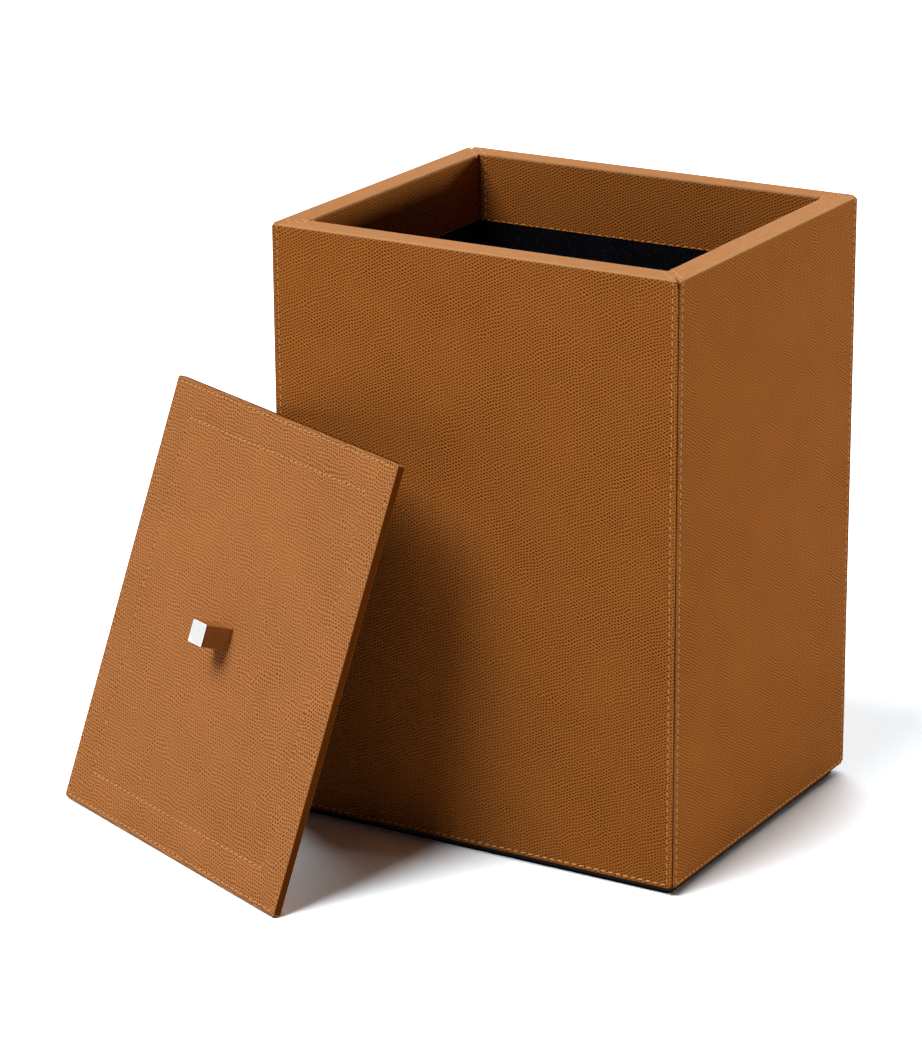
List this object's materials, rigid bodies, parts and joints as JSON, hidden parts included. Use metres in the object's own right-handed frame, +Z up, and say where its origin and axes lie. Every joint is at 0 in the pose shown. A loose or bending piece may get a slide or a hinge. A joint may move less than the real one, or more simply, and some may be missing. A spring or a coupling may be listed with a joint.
{
  "type": "storage box with lift-off lid",
  "caption": "Tall rectangular box in tan pebbled leather with contrast stitching and a dark lining, and a thin flat lid with a square metal-capped knob, leaning against it.",
  "frame": {"origin": "centre of the box's own footprint, on the surface the box stands on", "axes": "+Z up, -Y out of the front wall (the wide wall the lid leans beside), +X to the right along the front wall"},
  "size_m": [0.3229, 0.2991, 0.301],
  "materials": {
    "tan_leather": "pebble-embossed, semi-matt",
    "dark_lining": "suede-like nap",
    "black_base": "black paper-wrapped board",
    "black_felt": "felt",
    "wall_board": "raw fibreboard",
    "bright_metal": "polished",
    "steel": "zinc plated"
  },
  "bodies": {
    "box": {"front_board": "wall_board", "right_board": "wall_board", "back_board": "wall_board", "left_board": "wall_board", "bottom_board": "wall_board", "front_cover": "tan_leather", "right_cover": "tan_leather", "back_cover": "tan_leather", "left_cover": "tan_leather", "front_lining": "dark_lining", "right_lining": "dark_lining", "back_lining": "dark_lining", "left_lining": "dark_lining", "floor_pad": "dark_lining", "base_board": "black_base", "base_felt": "black_felt"},
    "lid": {"lid_board": "wall_board", "lid_cover": "tan_leather", "panel_board": "wall_board", "panel_cover": "dark_lining", "knob_core": "wall_board", "knob_sleeve": "tan_leather", "knob_cap": "bright_metal", "knob_screw": "steel", "knob_washer": "steel"}
  },
  "joints": [
    {"name": "lid_lift", "type": "slide", "parent": "box", "child": "lid", "axis": [0, 0, 1], "range_m": [0, 0.32]}
  ]
}
